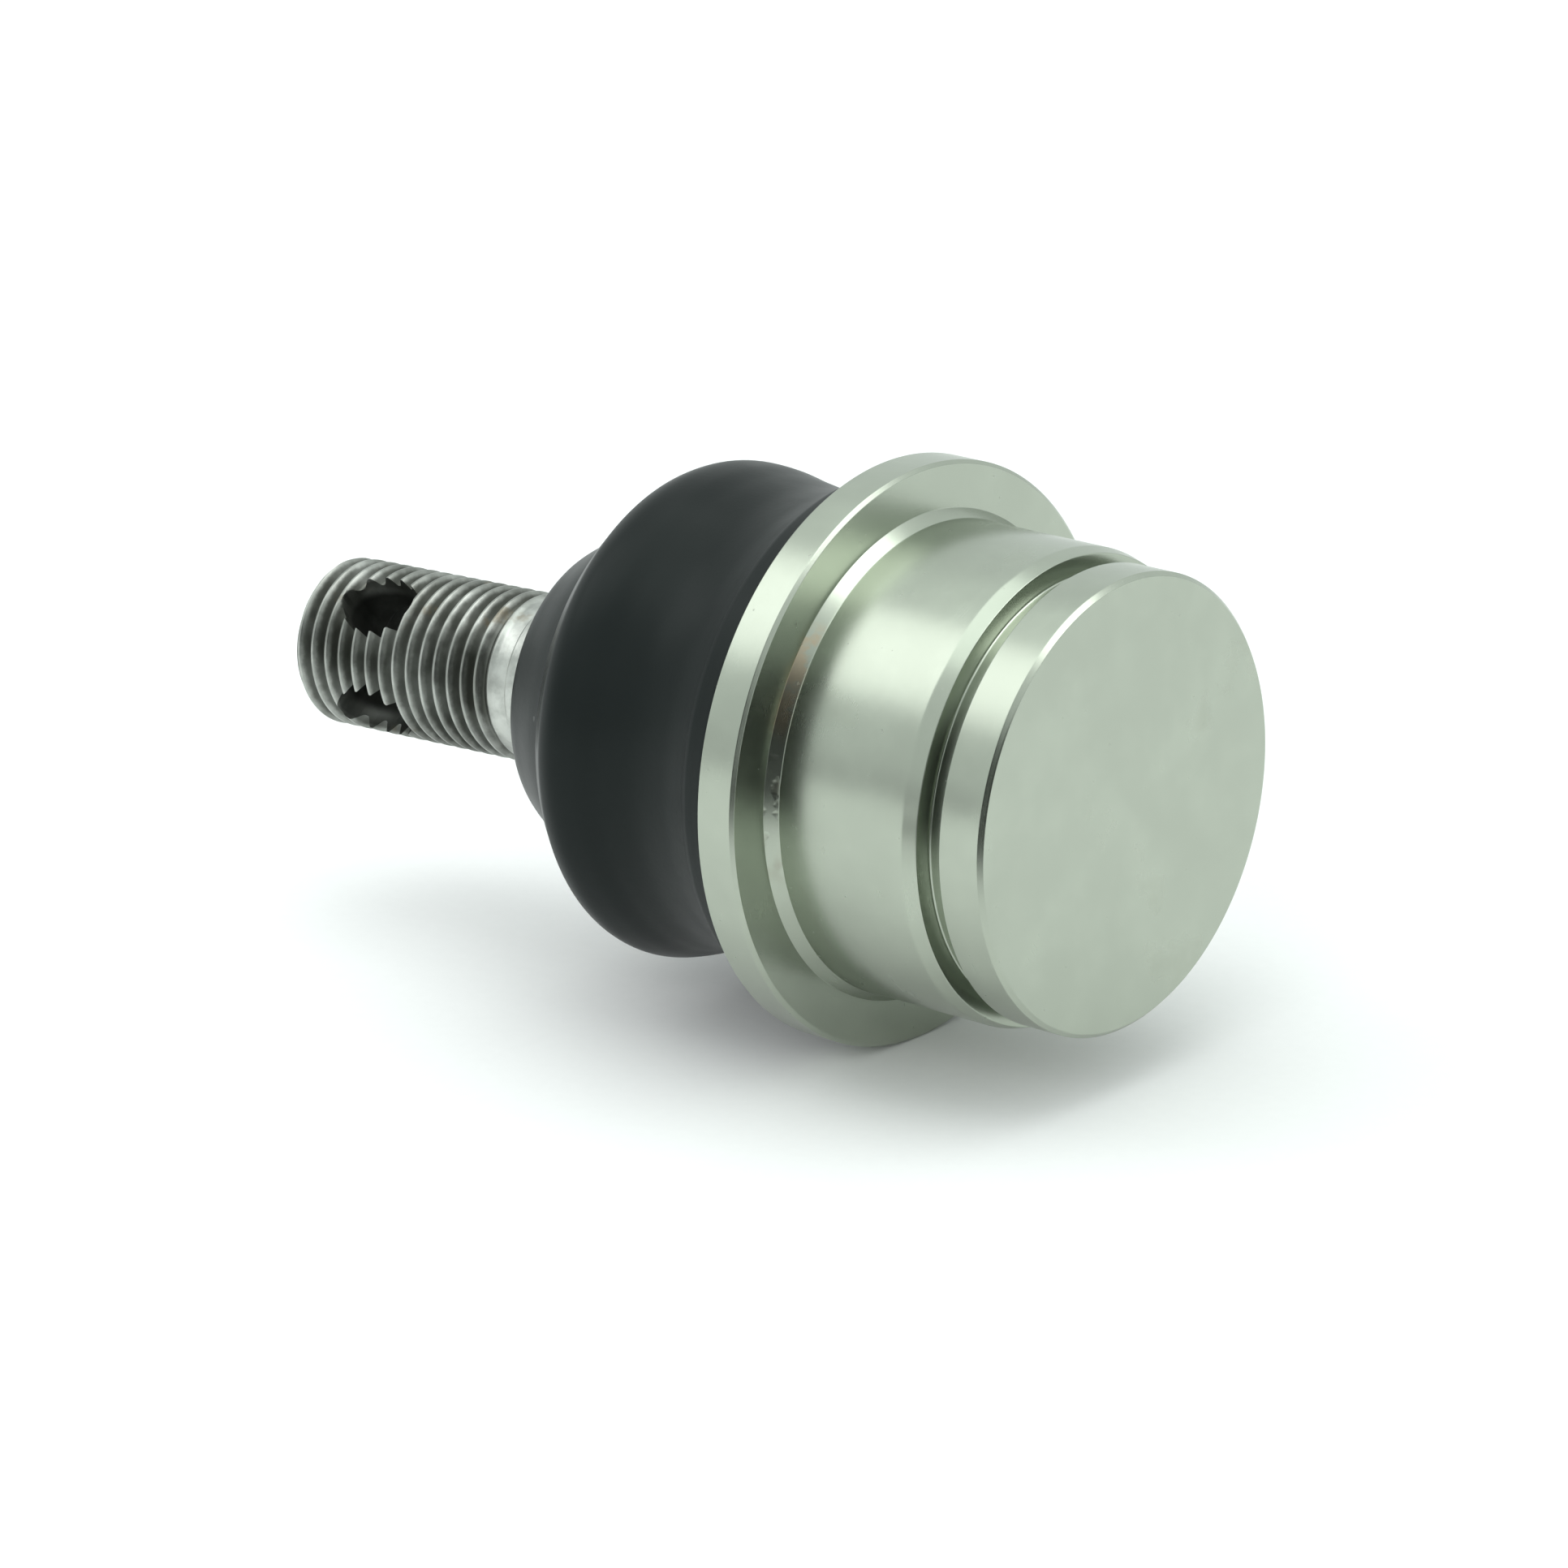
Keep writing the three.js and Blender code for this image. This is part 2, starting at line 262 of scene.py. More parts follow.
class Shader:
    """One material's nodes, and the few mixtures that the finishes share."""

    def __init__(self, name, tree=None):
        if tree is None:
            self.material = bpy.data.materials.new(name)
            self.material.use_nodes = True
            tree = self.material.node_tree
        self.tree = tree
        self.tree.nodes.clear()

    def node(self, kind, settings=None, values=None, output=0):
        """Adds a node: its settings first, a ramp's stops among them, then its sockets' values or links."""
        added = self.tree.nodes.new(kind)
        for key, setting in (settings or {}).items():
            if key == "stops":
                ramp = added.color_ramp
                while len(ramp.elements) < len(setting):
                    ramp.elements.new(1.0)
                for element, (place, colour) in zip(ramp.elements, setting):
                    element.position = place
                    element.color = (*colour, 1.0)
            else:
                setattr(added, key, setting)
        for key, value in (values or {}).items():
            socket = added.inputs[key]
            if isinstance(value, Value):
                self.tree.links.new(value.socket, socket)
            else:
                socket.default_value = value
        return Value(self, added.outputs[output])

    def place(self):
        return self.node("ShaderNodeTexCoord", output="Object")

    def vector(self, operation, *values, output="Vector"):
        return self.node("ShaderNodeVectorMath", {"operation": operation}, dict(enumerate(values)), output)

    def noise(self, place, scale, detail=3.0, roughness=0.5, stretch=(1.0, 1.0, 1.0)):
        """Noise around 0.5 with features of about one over the scale, in metres."""
        where = self.vector("MULTIPLY", place, stretch)
        settings = {"noise_dimensions": "3D"}
        values = {"Vector": where, "Scale": scale, "Detail": detail, "Roughness": roughness}
        return self.node("ShaderNodeTexNoise", settings, values, "Fac")

    def step(self, value, low, high, start=0.0, end=1.0):
        """Smooth step: start below low, end above high."""
        values = {"Value": value, "From Min": low, "From Max": high, "To Min": start, "To Max": end}
        return self.node("ShaderNodeMapRange", {"interpolation_type": "SMOOTHSTEP"}, values)

    def mix(self, factor, first, second):
        """Colour between two colours."""
        first, second = (c if isinstance(c, Value) else (*c, 1.0) for c in (first, second))
        settings = {"data_type": "RGBA"}
        return self.node("ShaderNodeMix", settings, {"Factor": factor, 6: first, 7: second}, 2)

    def round_place(self, place, origin, axis):
        """Coordinates about an axis: station along it, radius from it (both in mm), and the unit vector
        outwards, whose noise has no seam."""
        offset = self.vector("SUBTRACT", place, tuple(origin * MM))
        along = self.vector("DOT_PRODUCT", offset, tuple(axis), output="Value")
        on_axis = self.node(
            "ShaderNodeVectorMath", {"operation": "SCALE"}, {0: tuple(axis), "Scale": along}, "Vector"
        )
        across = self.vector("SUBTRACT", offset, on_axis)
        radius = self.vector("LENGTH", across, output="Value")
        outward = self.vector("NORMALIZE", across)
        return along / MM, radius / MM, outward

    def bumps(self, *heights):
        """Bump nodes in a row, each (height in metres, strength); the last one's normal."""
        normal = None
        for height, strength in heights:
            values = {"Height": height, "Strength": strength, "Distance": 1.0}
            if normal is not None:
                values["Normal"] = normal
            normal = self.node("ShaderNodeBump", {}, values)
        return normal

    def surface(self, **sockets):
        """Principled surface with the given sockets, wired to the output."""
        values = {key.replace("_", " "): value for key, value in sockets.items()}
        shader = self.node("ShaderNodeBsdfPrincipled", {}, values, "BSDF")
        self.node_output(shader)
        return self.material

    def node_output(self, shader):
        output = self.tree.nodes.new("ShaderNodeOutputMaterial")
        self.tree.links.new(shader.socket, output.inputs["Surface"])


def plated_steel():
    """Turned steel under a thin satin plating, pale grey with a green tinge: lathe rings round the axis,
    faint mottling, dull specks, handling marks on the closed end, small dent marks darkened with painted
    shade, and a warm patch on the bevel at the flange's root that is partly a stain, partly a painted
    reflection."""
    s = Shader("plated_steel")
    place = s.place()
    station, radius, outward = s.round_place(place, ORIGIN, housing_axis)
    mottle = s.noise(place, 190.0, 5.0, 0.6)
    cloud = s.noise(place, 55.0, 3.0, 0.5)
    rings = s.node("ShaderNodeCombineXYZ", {}, {0: station, 1: radius, 2: 0.0})
    turning = s.noise(rings, 9.0, 4.0, 0.7)
    fine_turning = s.noise(rings, 2.2, 2.0, 0.5)
    specks = s.step(s.noise(place, 1500.0, 2.0, 0.5), 0.74, 0.80)
    stain = s.step(s.noise(place, 85.0, 4.0, 0.6), 0.60, 0.74)

    base = s.mix(cloud, (0.385, 0.42, 0.355), (0.42, 0.46, 0.39))
    base = s.mix(s.step(mottle, 0.35, 0.75) * 0.4, base, (0.48, 0.525, 0.445))
    base = s.mix(stain * 0.22, base, (0.34, 0.36, 0.29))
    base = s.mix(specks * 0.4, base, (0.25, 0.27, 0.23))

    rough = 0.21 + 0.06 * mottle + 0.04 * turning + 0.12 * specks + 0.05 * stain
    root = s.step(radius, press_radius - 0.1, press_radius + 0.15) * s.step(station, 18.6, 18.9)
    root = root * (1 - s.step(radius, root_radius, root_radius + 0.15))
    low_side = s.vector("DOT_PRODUCT", outward, (0.0, -1.0, 0.0), output="Value")
    shaded_dents = s.step(s.noise(place, 650.0, 1.5, 0.5), 0.52, 0.68) * root * s.step(low_side, 0.94, 0.985)
    upper_side = s.vector("DOT_PRODUCT", outward, (0.0, -0.85, 0.53), output="Value")
    tarnish_and_reflection = root * s.step(upper_side, 0.965, 0.99) * s.step(s.noise(place, 420.0, 3.0, 0.6), 0.42, 0.58)
    # Partly a warm stain and partly a painted warm reflection: a warm patch on the upward-facing part of the
    # bevel.
    base = s.mix(tarnish_and_reflection * 0.55, base, (0.52, 0.38, 0.24))
    # Painted shade: the dent marks at the flange's root are darkened in colour, besides being pressed in.
    base = s.mix(shaded_dents * 0.5, base, (0.30, 0.30, 0.24))
    on_end = 1 - s.step(station, 0.02, 0.1)
    handled = s.noise(place, 420.0, 4.0, 0.65) * on_end
    normal = s.bumps(
        (handled * 0.00003, 0.45),
        (turning * 0.0000014, 0.5),
        (fine_turning * 0.000002, 0.35),
        (mottle * 0.000014, 0.35),
        (shaded_dents * -0.00007, 0.6),
    )
    return s.surface(Base_Color=base, Metallic=1.0, Roughness=rough, Normal=normal)


def rolled_steel():
    """Bare stud steel: worn grey crests, flanks and valleys darkened with painted shade and darker still
    with grime, ground rings on the taper, brown stains near the run-out of the thread, and painted shade on
    the cross holes' walls."""
    s = Shader("rolled_steel")
    place = s.place()
    station, radius, outward = s.round_place(place, ball_centre, stud_axis)
    on_thread = s.step(station, thread_start + 0.2, thread_start + 1.4)
    worn = s.noise(place, 520.0, 4.0, 0.6)
    blotch = s.noise(place, 140.0, 3.0, 0.55)
    grime = s.step(blotch, 0.42, 0.62)
    crest = s.step(radius + 0.45 * worn, thread_radius - 0.22, thread_radius + 0.12)
    valley = (1 - crest) * on_thread * (1 - s.step(station, stud_length - 0.3, stud_length - 0.05))
    rings = s.node("ShaderNodeCombineXYZ", {}, {0: station, 1: radius, 2: 0.0})
    grinding = s.noise(rings, 14.0, 3.0, 0.7) * (1 - on_thread)
    stain = s.step(s.noise(place, 170.0, 4.0, 0.65), 0.60, 0.70)

    base = s.mix(s.step(worn, 0.3, 0.7), (0.37, 0.385, 0.36), (0.58, 0.60, 0.565))
    # Painted shade in the thread's flanks and valleys, darker still where there is grime.
    base = s.mix(valley * (0.58 + 0.38 * grime), base, (0.06, 0.064, 0.056))
    base = s.mix(on_thread * (0.20 + 0.40 * grime), base, (0.10, 0.105, 0.09))
    base = s.mix(stain * 0.5, base, (0.20, 0.155, 0.09))
    # Painted shade on the walls of the cross holes: nearly black, lighter in patches where the wear noise is
    # high.
    bore = on_thread * (1 - s.step(radius + 0.6 * blotch, 5.0, 6.1))
    bore = bore * (1 - s.step(station, stud_length - 0.5, stud_length - 0.2))
    base = s.mix(bore * (1.05 - 0.35 * worn), base, (0.022, 0.023, 0.02))
    rough = 0.25 + 0.20 * worn + 0.16 * valley + 0.15 * stain + 0.25 * bore
    normal = s.bumps((worn * 0.00009, 0.5), (grinding * 0.000005, 0.6))
    return s.surface(Base_Color=base, Metallic=1.0, Roughness=rough, Normal=normal)


def moulded_rubber():
    """Matt black rubber with a fine moulded grain, faint grey bloom and a few specks of dust."""
    s = Shader("moulded_rubber")
    place = s.node("ShaderNodeAttribute", {"attribute_name": "moulded_place"}, output="Vector")
    grain = s.noise(place, 2600.0, 2.0, 0.6)
    bloom = s.noise(place, 70.0, 4.0, 0.6)
    smear = s.noise(place, 240.0, 3.0, 0.5)
    cloud = s.noise(place, 90.0, 2.0, 0.5)
    dust = s.step(s.noise(place, 700.0, 1.0, 0.5), 0.80, 0.82) * s.step(cloud, 0.5, 0.6)
    base = s.mix(bloom, (0.0065, 0.0085, 0.0085), (0.010, 0.0125, 0.0125))
    base = s.mix(dust * 0.35, base, (0.22, 0.23, 0.22))
    rough = 0.28 + 0.12 * smear + 0.15 * dust
    normal = s.bumps((grain * 0.00002, 0.25), (smear * 0.00012, 0.12))
    gloss = {"Specular_IOR_Level": 0.13, "Specular_Tint": (0.86, 0.96, 0.93, 1.0)}
    return s.surface(Base_Color=base, Roughness=rough, Normal=normal, **gloss)


def steel_finish(name, dark, light, brown, roughness, ring_scale):
    """Pressed or ground steel: two greys mottled together, thin brown stains, and rings left by grinding."""
    s = Shader(name)
    place = s.place()
    station, radius, outward = s.round_place(place, ORIGIN, housing_axis)
    mottle = s.noise(place, 260.0, 4.0, 0.6)
    rings = s.node("ShaderNodeCombineXYZ", {}, {0: station, 1: radius, 2: 0.0})
    grinding = s.noise(rings, ring_scale, 3.0, 0.7)
    stain = s.step(s.noise(place, 120.0, 4.0, 0.6), 0.58, 0.72)
    base = s.mix(mottle, dark, light)
    base = s.mix(stain * 0.4, base, brown)
    rough = roughness + 0.10 * mottle + 0.12 * stain
    normal = s.bumps((grinding * 0.000006, 0.6), (mottle * 0.00002, 0.3))
    return s.surface(Base_Color=base, Metallic=1.0, Roughness=rough, Normal=normal)


def moulded_plastic(name, dark, light, roughness, grease):
    """Moulded plastic with faint flow marks and a film of grease in patches."""
    s = Shader(name)
    place = s.place()
    flow = s.noise(place, 120.0, 4.0, 0.6)
    grain = s.noise(place, 1500.0, 2.0, 0.5)
    film = s.step(s.noise(place, 160.0, 3.0, 0.5), 0.5, 0.62)
    base = s.mix(flow, dark, light)
    base = s.mix(film * 0.35, base, grease)
    rough = roughness + 0.1 * flow - 0.18 * film
    normal = s.bumps((grain * 0.00001, 0.3), (film * 0.00005, 0.2))
    return s.surface(Base_Color=base, Roughness=rough, Normal=normal)


# ---- housing ----


def housing_body():
    """The turned cup: closed end, snap-ring groove, lead-in, press land, bevelled root, flange, boot spigot,
    and the bore behind a rolled lip."""
    corners = [
        (0.0, 0.0, 0.0),
        (0.0, pilot_radius - end_chamfer, 0.05),
        (end_chamfer, pilot_radius, 0.10),
        (groove_start, pilot_radius, 0.06),
        (groove_start, groove_radius, 0.20),
        (groove_end, groove_radius, 0.20),
        (groove_end, lead_in_radius, 0.06),
        (press_start, press_radius, 0.9),
        (flange_front - 0.95, press_radius, 0.2),
        (flange_front, root_radius, 0.06),
        (flange_front, flange_radius - 0.3, 0.06),
        (flange_front + 0.25, flange_radius, 0.08),
        (flange_rear - 0.25, flange_radius, 0.08),
        (flange_rear, flange_radius - 0.3, 0.06),
        (flange_rear, spigot_radius, 0.4),
        (spigot_end - 0.1, spigot_radius, 0.4),
        (spigot_end, lip_radius + 0.6, 0.3),
        (spigot_end - 0.5, lip_radius, 0.25),
        (spigot_end - 0.8, lip_radius, 0.1),
        (spigot_end - 0.8, counterbore_radius, 0.1),
        (counterbore_start, counterbore_radius, 0.15),
        (counterbore_start, bore_radius, 0.15),
        (floor_station, bore_radius, 0.3),
        (floor_station, 0.0, 0.0),
    ]
    return turned("housing_body", rounded(corners), 240)


# ---- ball stud ----


def thread_drop(phase):
    """Depth of the thread below its crest over one pitch, as a share of its full depth: a rounded crest at
    phase 0, straight flanks, and a round valley at phase 0.5."""
    away = np.abs((phase + 0.5) % 1.0 - 0.5)
    table = np.array([[0.0, 0.0], [0.06, 0.01], [0.10, 0.07], [0.36, 0.86], [0.42, 0.97], [0.5, 1.0]])
    return np.interp(away, table[:, 0], table[:, 1])


def ball_stud_body(segments=112):
    """The forging, about the stud's axis from the ball's centre. A sphere with a flat back, a filleted neck,
    the taper and the shank are turned. The thread's rows fall one pitch a turn, as a right-hand thread does,
    so that a row's end is the start of the row one pitch back; they are held at both ends of the thread.
    Two crossed holes are cut through it afterwards."""
    flat = np.sqrt(ball_radius**2 - ball_flat_radius**2)
    flat_angle = np.pi - np.arcsin(ball_flat_radius / ball_radius)
    sweep = np.linspace(flat_angle, np.arcsin(fillet_radius / ball_radius), 40)
    sphere = np.stack([np.cos(sweep), np.sin(sweep)], -1) * ball_radius
    neck = smooth_curve([tuple(sphere[-1]), (9.7, 6.62), (10.9, neck_radius), (12.0, neck_radius)], 5)
    plain = rounded(
        [
            (12.2, neck_radius, 0.0),
            (neck_end, neck_radius, 2.0),
            (taper_start, taper_big_radius, 0.5),
            (taper_end, taper_small_radius, 0.08),
            (taper_end + 0.25, shank_radius, 0.12),
            (thread_start - 0.3, shank_radius, 0.0),
        ]
    )
    back = np.array([[-flat, 0.0], [-flat, 2.0], [-flat, ball_flat_radius - 0.1]])
    front = np.vstack([back, sphere, neck[1:], plain])

    angle = np.linspace(0.0, 2 * np.pi, segments + 1)[None, :]
    phases = np.array([0.0, 0.06, 0.10, 0.18, 0.28, 0.36, 0.42, 0.5, 0.58, 0.64, 0.72, 0.82, 0.90, 0.94])
    turns = int(np.ceil((stud_length - thread_start) / thread_pitch)) + 2
    climb = (np.arange(-1, turns + 1)[:, None] + phases[None, :]).reshape(-1, 1)
    raw = thread_start + thread_offset + (climb - angle / (2 * np.pi)) * thread_pitch
    station = np.clip(raw, thread_start, stud_length)
    run_in = np.clip((station - thread_start) / (run_out_turns * thread_pitch), 0.0, 1.0)
    run_in = run_in * run_in * (3 - 2 * run_in)
    crest = shank_radius + (thread_radius - shank_radius) * np.clip(run_in * 2.0, 0.0, 1.0)
    phase = (station - thread_start - thread_offset) / thread_pitch + angle / (2 * np.pi)
    radius = crest - thread_depth * run_in * thread_drop(phase)
    chamfer = thread_radius + 0.05 - (station - (stud_length - tip_chamfer)) * 1.1
    face_radius = thread_radius - tip_chamfer - 0.05
    radius = np.where(station >= stud_length, face_radius, np.minimum(radius, chamfer))
    tip = np.array([[stud_length, 4.0], [stud_length, 0.0]])

    rows = [
        swept_round(front[:, :1], front[:, 1:], angle, ball_centre, stud_axis),
        swept_round(station, radius, np.broadcast_to(angle, station.shape), ball_centre, stud_axis),
        swept_round(tip[:, :1], tip[:, 1:], angle, ball_centre, stud_axis),
    ]
    stud = piece_from_grid("ball_stud_body", np.vstack(rows))

    first, second = frame_round(stud_axis)
    turn = np.radians(hole_angle)
    across = np.cos(turn) * first + np.sin(turn) * second
    hole_centre = ball_centre + stud_axis * (stud_length - hole_from_tip)
    for name, way in (("hole_one", across), ("hole_two", np.cross(stud_axis, across))):
        cut_hole(stud, name, hole_centre, way)
    stud.data.set_sharp_from_angle(angle=np.radians(38.0))
    return stud


def cut_hole(stud, name, centre, way):
    """Cuts a straight hole, a little longer along the stud than across it: a round cutter whose distance
    from the hole's centre along the stud is stretched."""
    outside, mouth = thread_radius + 1.5, hole_radius + 0.12
    half = [(6.8, hole_radius), (outside, mouth), (outside, 0.0)]
    profile = np.array([(-station, radius) for station, radius in reversed(half)] + half)
    turn = np.linspace(0.0, 2 * np.pi, 49)[None, :]
    grid = swept_round(profile[:, :1], profile[:, 1:], turn, centre, way)
    along = ((grid - centre) @ stud_axis)[..., None] * stud_axis
    cutter = piece_from_grid(name, grid + along * (hole_stretch - 1))
    cut = stud.modifiers.new("cut", "BOOLEAN")
    cut.operation = "DIFFERENCE"
    cut.solver = "EXACT"
    cut.object = cutter
    evaluated = stud.evaluated_get(bpy.context.evaluated_depsgraph_get())
    mesh = bpy.data.meshes.new_from_object(evaluated)
    stud.modifiers.clear()
    stud.data = mesh
    mesh.polygons.foreach_set("use_smooth", np.ones(len(mesh.polygons), bool))
    bpy.data.objects.remove(cutter)


# ---- boot ----


def lean_share(points):
    """How much of the stud's lean each point takes: a smooth step from the bend's start to its end."""
    share = np.clip((-points[..., 0] - bend_start) / (bend_end - bend_start), 0.0, 1.0)
    return share * share * (3 - 2 * share)


def lean_with_stud(points):
    """Turns each point about the ball's centre, from the housing's axis towards the stud's, by its share."""
    hinge = np.cross(housing_axis, stud_axis)
    angle = np.arcsin(np.linalg.norm(hinge)) * lean_share(points)[..., None]
    hinge = hinge / np.linalg.norm(hinge)
    offset = points - ball_centre
    along = (offset @ hinge)[..., None] * hinge
    turned_offset = offset * np.cos(angle) + np.cross(hinge, offset) * np.sin(angle)
    return ball_centre + turned_offset + along * (1 - np.cos(angle))


def boot_skin(segments=192):
    """The boot, turned about the housing's axis and then leant with the stud: base bead with a small step,
    waist, bulge, two fine mould ridges at the shoulder, and a slightly convex collar with a sealing lip."""
    bead = smooth_curve([(23.5, 20.6), (23.7, 21.2), (24.3, 21.5), (25.6, 21.3), (26.4, 21.15)], 5)
    step = rounded(
        [(26.4, 21.15, 0.0), (26.72, 21.02, 0.08), (26.86, 20.42, 0.12), (27.2, 20.25, 0.0)], 4, 0.03
    )
    bulge = smooth_curve(
        [
            (27.2, 20.25),
            (28.4, 19.75),
            (30.5, 19.15),
            (33.5, 18.88),
            (36.5, 19.3),
            (39.0, 19.95),
            (41.0, 20.2),
            (42.4, 19.85),
            (43.2, 19.22),
            (43.7, 18.74),
        ],
        8,
    )
    ridges = rounded(
        [
            (43.7, 18.74, 0.0),
            (44.12, 18.38, 0.1),
            (44.28, 17.9, 0.2),
            (45.42, 16.82, 0.1),
            (45.56, 16.02, 0.12),
            (46.6, 15.3, 0.0),
        ],
        4,
        0.03,
    )
    collar = smooth_curve(
        [(46.6, 15.3), (48.4, 14.4), (50.4, 13.25), (51.7, 12.5), (52.3, 12.05), (52.5, 11.5)], 5
    )
    lip = [(52.5, 9.3), (52.55, 8.4), (52.45, 7.5), (51.9, 7.3), (51.5, 7.45), (51.5, 9.9)]
    inside = smooth_curve(
        [
            (45.2, 10.0),
            (44.4, 12.6),
            (43.0, 15.8),
            (40.8, 17.9),
            (36.0, 16.9),
            (33.0, 16.6),
            (30.0, 16.9),
            (28.0, 18.2),
        ],
        5,
    )
    profile = np.vstack([bead, step[1:], bulge[1:], ridges[1:], collar[1:], lip, inside, [(23.5, 18.2)]])
    angle = np.linspace(0.0, 2 * np.pi, segments + 1)
    grid = swept_round(profile[:, :1], profile[:, 1:], angle[None, :], ORIGIN, housing_axis)
    boot = piece_from_grid("boot_skin", grid, ring=True)
    places = np.empty(len(boot.data.vertices) * 3)
    boot.data.vertices.foreach_get("co", places)
    memory = boot.data.attributes.new("moulded_place", "FLOAT_VECTOR", "POINT")
    memory.data.foreach_set("vector", places)
    leant = lean_with_stud(places.reshape(-1, 3) / MM) * MM
    boot.data.vertices.foreach_set("co", leant.ravel())
    boot.data.update()
    return boot


# ---- pieces sealed inside ----


def ring_piece(name, corners, segments=128, origin=ORIGIN, axis=housing_axis):
    """A turned ring whose profile closes on itself: first corner, rounded corners, and back."""
    closed = [corners[-1], *corners, corners[0]]
    profile = rounded(closed, steps=4)[1:-1]
    return turned(name, profile, segments, True, origin, axis)


def arc_corners(station, radius, start, end, steps):
    """Unrounded corners along an arc about a point on the axis."""
    angle = np.radians(np.linspace(start, end, steps))
    return [(station + radius * np.cos(a), radius * np.sin(a), 0.02) for a in angle]


plating = plated_steel()
stud_steel = rolled_steel()
rubber = moulded_rubber()
ring_steel = steel_finish(
    "ring_steel", (0.36, 0.37, 0.38), (0.50, 0.51, 0.52), (0.26, 0.20, 0.13), 0.30, 8.0
)
spring_steel = steel_finish(
    "spring_steel", (0.10, 0.115, 0.14), (0.19, 0.20, 0.22), (0.13, 0.10, 0.08), 0.34, 5.0
)
acetal = moulded_plastic("acetal", (0.70, 0.68, 0.60), (0.80, 0.78, 0.71), 0.42, (0.46, 0.37, 0.20))
hard_plastic = moulded_plastic(
    "hard_plastic", (0.018, 0.018, 0.02), (0.03, 0.03, 0.033), 0.45, (0.05, 0.045, 0.03)
)

finish_piece(housing_body(), "housing", "housing_steel", plating, "housing")
finish_piece(ball_stud_body(), "ball_stud", "stud_steel", stud_steel, "ball_stud")

spring = ring_piece(
    "preload_spring_body", [(4.2, 13.2, 0.15), (4.8, 13.2, 0.15), (4.1, 7.0, 0.15), (3.5, 7.0, 0.15)]
)
finish_piece(spring, "housing", "spring_steel", spring_steel, "preload_spring")
washer = ring_piece(
    "load_washer_body", [(5.1, 13.6, 0.12), (5.7, 13.6, 0.12), (5.7, 5.5, 0.12), (5.1, 5.5, 0.12)]
)
finish_piece(washer, "housing", "ring_steel", ring_steel, "load_washer")
lower_seat = ring_piece(
    "lower_seat_body",
    [
        (6.0, 5.5, 0.1),
        (6.0, 13.1, 0.3),
        (6.8, 13.9, 0.3),
        (17.45, 13.9, 0.1),
        *arc_corners(ball_station, seat_radius, 90.8, 152.2, 30),
    ],
)
finish_piece(lower_seat, "bearing_seat", "seat_polymer", acetal, "lower_seat")
upper_seat = ring_piece(
    "upper_seat_body",
    [(17.75, 13.9, 0.1), (23.1, 13.9, 0.2), *arc_corners(ball_station, seat_radius, 62.3, 89.2, 16)],
)
finish_piece(upper_seat, "bearing_seat", "seat_polymer", acetal, "upper_seat")
closing_ring = ring_piece(
    "closing_ring_body", [(23.5, 14.7, 0.2), (26.6, 14.7, 0.2), (26.6, 12.3, 0.3), (23.5, 11.4, 0.3)]
)
finish_piece(closing_ring, "housing", "ring_steel", ring_steel, "closing_ring")
base_insert = ring_piece(
    "boot_base_insert_body", [(23.7, 17.9, 0.2), (27.4, 17.9, 0.2), (27.4, 16.9, 0.2), (23.7, 16.9, 0.2)]
)
finish_piece(base_insert, "housing", "ring_steel", ring_steel, "boot_base_insert")
neck_start, neck_stop = 45.9 - ball_station, 51.2 - ball_station
neck_insert = ring_piece(
    "boot_neck_insert_body",
    [(neck_start, 9.7, 0.2), (neck_stop, 9.7, 0.2), (neck_stop, 7.95, 0.2), (neck_start, 7.95, 0.2)],
    origin=ball_centre,
    axis=stud_axis,
)
finish_piece(neck_insert, "boot_collar", "insert_plastic", hard_plastic, "boot_neck_insert")

boot = finish_piece(boot_skin(), None, "boot_rubber", rubber, "boot")
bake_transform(boot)


# ---- floor, light and camera ----

view_aim = np.array([-0.0205, -0.01636, 0.00162])
view_back = np.array([0.6083, -0.7300, 0.3117]) / np.linalg.norm([0.6083, -0.7300, 0.3117])
view_distance = 0.495
card_way = np.array([0.6083, -0.7300, 0.22]) / np.linalg.norm([0.6083, -0.7300, 0.22])


def studio_floor():
    """Flat round floor under the flange's rim, pale and matt with a trace of unevenness."""
    edge = np.linspace(0.0, 2 * np.pi, 65)
    reach = np.array([0.0, 150.0, 400.0, 900.0, 2500.0])[:, None]
    level = np.full((5, 65), floor_height / MM - 0.02)
    grid = np.stack([reach * np.cos(edge), reach * np.sin(edge), level], -1)
    floor = piece_from_grid("studio_floor", grid)
    s = Shader("floor_paper")
    place = s.place()
    fibre = s.noise(place, 900.0, 3.0, 0.6)
    base = s.mix(fibre, (0.90, 0.90, 0.90), (0.93, 0.93, 0.93))
    normal = s.bumps((fibre * 0.00004, 0.2))
    floor.data.materials.append(s.surface(Base_Color=base, Roughness=0.85, Normal=normal))


def soft_light(name, azimuth, elevation, distance, size, power, colour=(1.0, 1.0, 1.0)):
    """Rectangular lamp that looks at the object from an azimuth and elevation, in degrees."""
    a, e = np.radians(azimuth), np.radians(elevation)
    way = Vector((np.cos(a) * np.cos(e), np.sin(a) * np.cos(e), np.sin(e)))
    lamp = bpy.data.lights.new(name, "AREA")
    lamp.shape = "RECTANGLE"
    lamp.size, lamp.size_y = size
    lamp.energy = power
    lamp.color = colour
    light = bpy.data.objects.new(name, lamp)
    light.location = Vector((-0.02, 0.0, 0.0)) + way * distance
    light.rotation_euler = way.to_track_quat("Z", "Y").to_euler()
    bpy.context.scene.collection.objects.link(light)
    return light


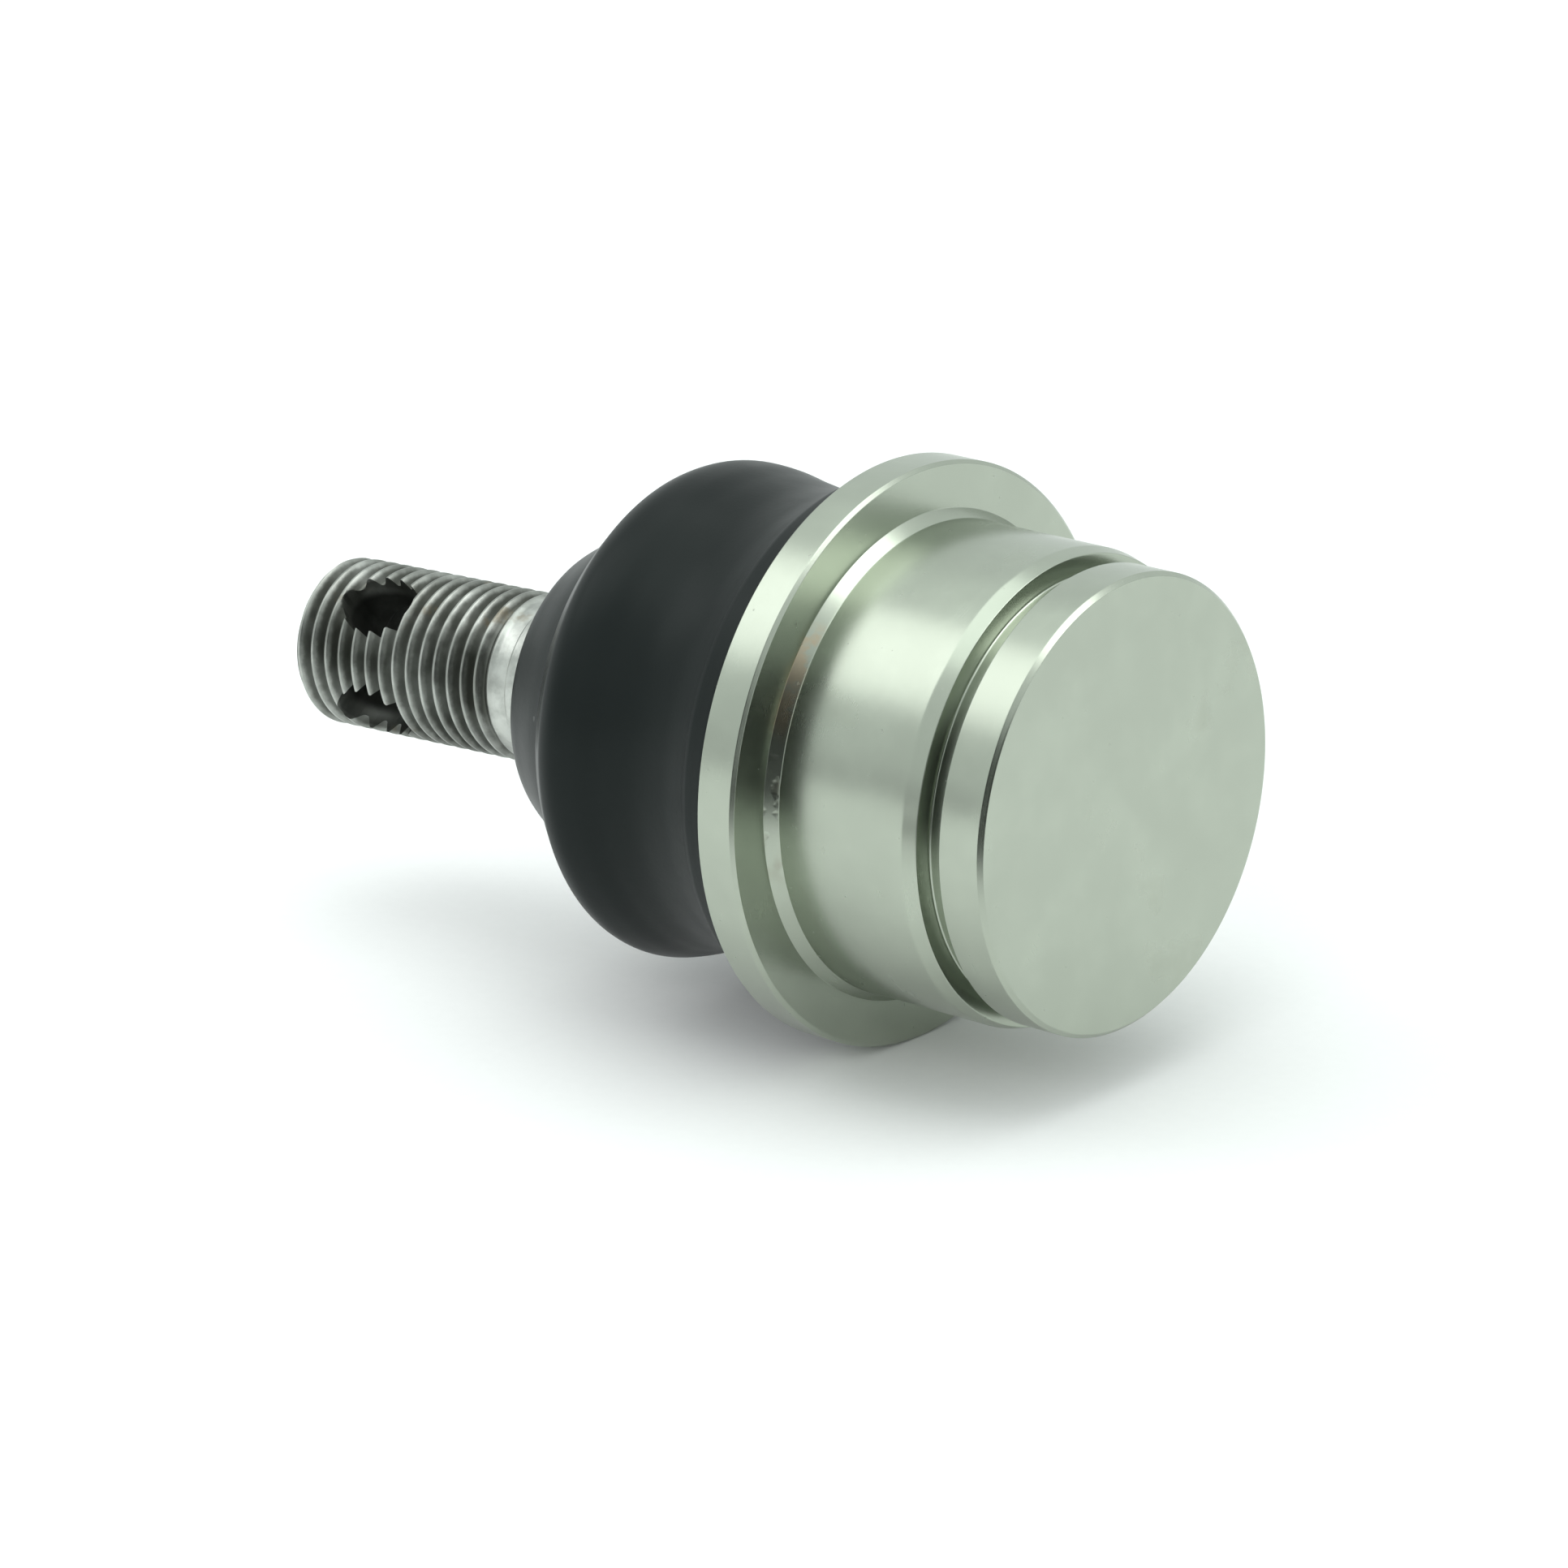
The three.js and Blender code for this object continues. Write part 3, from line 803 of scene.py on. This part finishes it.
def studio_walls():
    """Even pale room, dimmer low down on the side where a person works at the table."""
    world = bpy.data.worlds.new("studio_walls")
    world.use_nodes = True
    s = Shader("studio_walls", world.node_tree)
    way = s.vector("NORMALIZE", s.node("ShaderNodeTexCoord", output="Generated"))
    turn = np.radians(-95.0)
    low_side = s.vector("DOT_PRODUCT", way, (np.cos(turn), np.sin(turn), 0.0), output="Value")
    height = s.vector("DOT_PRODUCT", way, (0.0, 0.0, 1.0), output="Value")
    dim = s.step(low_side, 0.55, 0.95) * (1 - s.step(height, 0.05, 0.22))
    colour = s.mix(dim, (0.86, 0.92, 0.905), (0.50, 0.53, 0.525))
    shade = s.node("ShaderNodeBackground", {}, {"Color": colour, "Strength": 1.0})
    output = world.node_tree.nodes.new("ShaderNodeOutputWorld")
    world.node_tree.links.new(shade.socket, output.inputs["Surface"])
    bpy.context.scene.world = world


def dark_card(name, centre, facing, full, fade):
    """Round dark card, in mm, as one is set up in a studio to give polished steel its dark bands. It fades
    out between two distances from its centre, and shows in reflections only."""
    edge = np.linspace(0.0, 2 * np.pi, 65)
    reach = np.linspace(0.0, fade + 10.0, 4)[:, None]
    first, second = frame_round(facing)
    across = np.cos(edge)[:, None] * first + np.sin(edge)[:, None] * second
    card = piece_from_grid(name, centre + reach[..., None] * across[None])
    s = Shader(name)
    offset = s.vector("SUBTRACT", s.place(), tuple(centre * MM))
    shown = 1 - s.step(s.vector("LENGTH", offset, output="Value"), full * MM, fade * MM)
    clear = s.node("ShaderNodeBsdfTransparent", {}, {}, "BSDF")
    black = s.node("ShaderNodeBsdfDiffuse", {}, {"Color": (0.02, 0.022, 0.02, 1.0)}, "BSDF")
    s.node_output(s.node("ShaderNodeMixShader", {}, {0: shown, 1: clear, 2: black}))
    card.data.materials.append(s.material)
    card.visible_camera = False
    card.visible_diffuse = False
    card.visible_shadow = False


def studio_camera():
    """Long lens, from in front of the closed end and to one side, looking slightly down."""
    lens = bpy.data.cameras.new("studio_camera")
    lens.lens = 149.07
    lens.sensor_width = 36.0
    lens.clip_start = 0.01
    camera = bpy.data.objects.new("studio_camera", lens)
    back = Vector(view_back)
    right = Vector((0.0, 0.0, 1.0)).cross(back).normalized()
    up = back.cross(right)
    place = Vector(view_aim) + back * view_distance
    turn = Matrix((right, up, back)).transposed()
    camera.matrix_world = Matrix.Translation(place) @ turn.to_4x4()
    bpy.context.scene.collection.objects.link(camera)
    bpy.context.scene.camera = camera


studio_floor()
studio_walls()
dark_card("standing_card", view_aim / MM + card_way * 520.0, card_way, 190.0, 330.0)
# This dark card lies on the floor and stands for shade on the table near the camera, a painted dark
# reflection seen in reflections only. It faces a hair off upward, because frame_round needs an axis that
# isn't upward.
shade_card_centre = np.array([180.0, -230.0, floor_height / MM + 0.5])
shade_card_facing = np.array([0.0, -0.0001, 1.0])
dark_card("floor_shade_card", shade_card_centre, shade_card_facing / np.linalg.norm(shade_card_facing), 185.0, 255.0)
soft_light("side_softbox", -152.0, 44.5, 0.9, (0.50, 0.45), 0.98)
front_softbox = soft_light("front_softbox", 22.0, 58.0, 1.0, (0.62, 0.62), 3.0)
front_softbox.visible_diffuse = False
soft_light("overhead_softbox", -170.0, 86.0, 1.1, (1.1, 1.1), 4.0, (0.95, 1.0, 0.97))
low_fill = soft_light("low_fill", -75.0, 25.0, 1.0, (0.6, 0.6), 2.4)
low_fill.visible_glossy = False
studio_camera()
bpy.context.scene.view_settings.view_transform = "Standard"
